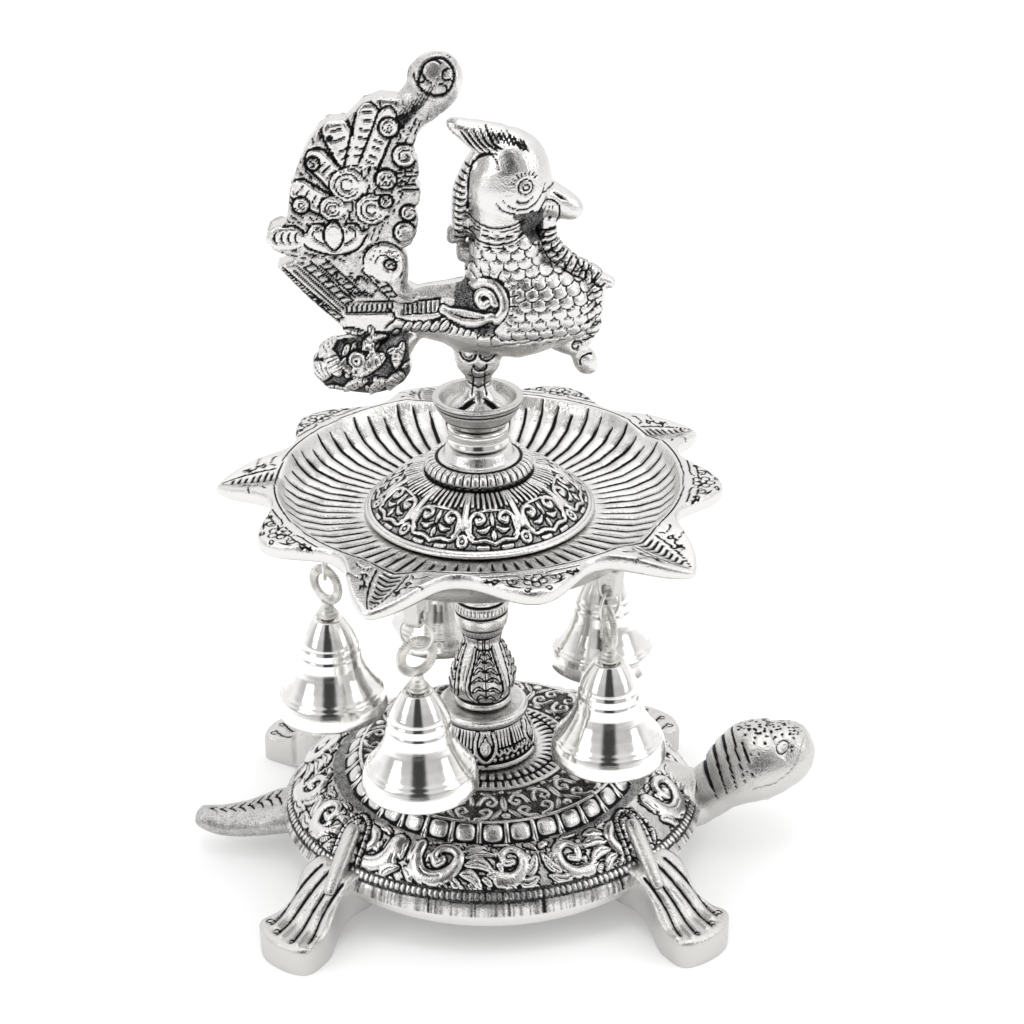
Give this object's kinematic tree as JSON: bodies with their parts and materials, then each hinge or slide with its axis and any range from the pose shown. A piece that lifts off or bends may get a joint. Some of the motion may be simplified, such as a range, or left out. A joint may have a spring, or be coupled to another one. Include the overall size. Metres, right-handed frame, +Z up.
{
  "type": "standing oil lamp with bells",
  "caption": "Cast devotional oil lamp: a tortoise carries a turned stem, a petal-edged wick tray hung with small bells, and a peacock on top.",
  "frame": {"origin": "on the floor, under the middle of the stand's bounding box", "axes": "+Z up, +X the way the tortoise and the peacock face, -Y towards the viewer"},
  "size_m": [0.1923, 0.1478, 0.254],
  "materials": {
    "turtle_casting": "cast, bright raised parts over blackened recesses, filed smooth at the feet, head and edge",
    "drum_casting": "cast, polished top disc, blackened lotus petals",
    "stem_casting": "cast, polished smooth faces, blackened leaf panels",
    "tray_casting": "cast, polished bowl and edge, blackened grooves",
    "dome_casting": "cast, bright raised scrolls over blackened recesses",
    "spool_casting": "polished",
    "peacock_casting": "cast, polished head, blackened feather lines",
    "rod_steel": "plain threaded rod",
    "base_washer": "plated washer",
    "base_nut": "plated hexagonal nut",
    "ring_wire": "bright round wire",
    "bell_eye": "milled flat ring, matte silver",
    "bell_shell": "turned and plated mirror bright",
    "bell_nut": "small plated nut",
    "clapper": "plated wire and ball"
  },
  "bodies": {
    "stand": {"turtle_base": "turtle_casting", "base_washer": "base_washer", "base_nut": "base_nut", "lotus_drum": "drum_casting", "stem": "stem_casting", "tray": "tray_casting", "dome": "dome_casting", "neck_spool": "spool_casting", "peacock": "peacock_casting", "threaded_rod": "rod_steel"},
    "link_1": {"jump_ring_1": "ring_wire"},
    "bell_body_1": {"bell_1": "bell_shell", "bell_eye_1": "bell_eye", "bell_nut_1": "bell_nut"},
    "clapper_body_1": {"clapper_1": "clapper"},
    "link_2": {"jump_ring_2": "ring_wire"},
    "bell_body_2": {"bell_2": "bell_shell", "bell_eye_2": "bell_eye", "bell_nut_2": "bell_nut"},
    "clapper_body_2": {"clapper_2": "clapper"},
    "link_3": {"jump_ring_3": "ring_wire"},
    "bell_body_3": {"bell_3": "bell_shell", "bell_eye_3": "bell_eye", "bell_nut_3": "bell_nut"},
    "clapper_body_3": {"clapper_3": "clapper"},
    "link_4": {"jump_ring_4": "ring_wire"},
    "bell_body_4": {"bell_4": "bell_shell", "bell_eye_4": "bell_eye", "bell_nut_4": "bell_nut"},
    "clapper_body_4": {"clapper_4": "clapper"},
    "link_5": {"jump_ring_5": "ring_wire"},
    "bell_body_5": {"bell_5": "bell_shell", "bell_eye_5": "bell_eye", "bell_nut_5": "bell_nut"},
    "clapper_body_5": {"clapper_5": "clapper"}
  },
  "joints": [
    {"name": "ring_1_swing", "type": "hinge", "parent": "stand", "child": "link_1", "pos_m": [0.0327, 0.02404, 0.1048], "axis": [-0.5693, 0.8221, 0], "range_deg": [-30, 14]},
    {"name": "bell_1_swing", "type": "hinge", "parent": "link_1", "child": "bell_body_1", "pos_m": [0.0327, 0.02404, 0.0998], "axis": [0.8221, 0.5693, 0], "range_deg": [-20, 20]},
    {"name": "clapper_1_swing", "type": "hinge", "parent": "bell_body_1", "child": "clapper_body_1", "pos_m": [0.0327, 0.02404, 0.0751], "axis": [0.8221, 0.5693, 0], "range_deg": [-26, 26]},
    {"name": "ring_2_swing", "type": "hinge", "parent": "stand", "child": "link_2", "pos_m": [-0.01845, 0.04196, 0.1048], "axis": [-0.9578, -0.2874, 0], "range_deg": [-30, 14]},
    {"name": "bell_2_swing", "type": "hinge", "parent": "link_2", "child": "bell_body_2", "pos_m": [-0.01845, 0.04196, 0.0998], "axis": [-0.2874, 0.9578, 0], "range_deg": [-20, 20]},
    {"name": "clapper_2_swing", "type": "hinge", "parent": "bell_body_2", "child": "clapper_body_2", "pos_m": [-0.01845, 0.04196, 0.0751], "axis": [-0.2874, 0.9578, 0], "range_deg": [-26, 26]},
    {"name": "ring_3_swing", "type": "hinge", "parent": "stand", "child": "link_3", "pos_m": [-0.05129, -0.00115, 0.1048], "axis": [-0.0227, -0.9997, 0], "range_deg": [-30, 14]},
    {"name": "bell_3_swing", "type": "hinge", "parent": "link_3", "child": "bell_body_3", "pos_m": [-0.05129, -0.00115, 0.0998], "axis": [-0.9997, 0.0227, 0], "range_deg": [-20, 20]},
    {"name": "clapper_3_swing", "type": "hinge", "parent": "bell_body_3", "child": "clapper_body_3", "pos_m": [-0.05129, -0.00115, 0.0751], "axis": [-0.9997, 0.0227, 0], "range_deg": [-26, 26]},
    {"name": "ring_4_swing", "type": "hinge", "parent": "stand", "child": "link_4", "pos_m": [-0.02366, -0.04444, 0.1048], "axis": [0.9164, -0.4003, 0], "range_deg": [-30, 14]},
    {"name": "bell_4_swing", "type": "hinge", "parent": "link_4", "child": "bell_body_4", "pos_m": [-0.02366, -0.04444, 0.0998], "axis": [-0.4003, -0.9164, 0], "range_deg": [-20, 20]},
    {"name": "clapper_4_swing", "type": "hinge", "parent": "bell_body_4", "child": "clapper_body_4", "pos_m": [-0.02366, -0.04444, 0.0751], "axis": [-0.4003, -0.9164, 0], "range_deg": [-26, 26]},
    {"name": "ring_5_swing", "type": "hinge", "parent": "stand", "child": "link_5", "pos_m": [0.03147, -0.03014, 0.1048], "axis": [0.606, 0.7955, 0], "range_deg": [-30, 14]},
    {"name": "bell_5_swing", "type": "hinge", "parent": "link_5", "child": "bell_body_5", "pos_m": [0.03147, -0.03014, 0.0998], "axis": [0.7955, -0.606, 0], "range_deg": [-20, 20]},
    {"name": "clapper_5_swing", "type": "hinge", "parent": "bell_body_5", "child": "clapper_body_5", "pos_m": [0.03147, -0.03014, 0.0751], "axis": [0.7955, -0.606, 0], "range_deg": [-26, 26]}
  ]
}
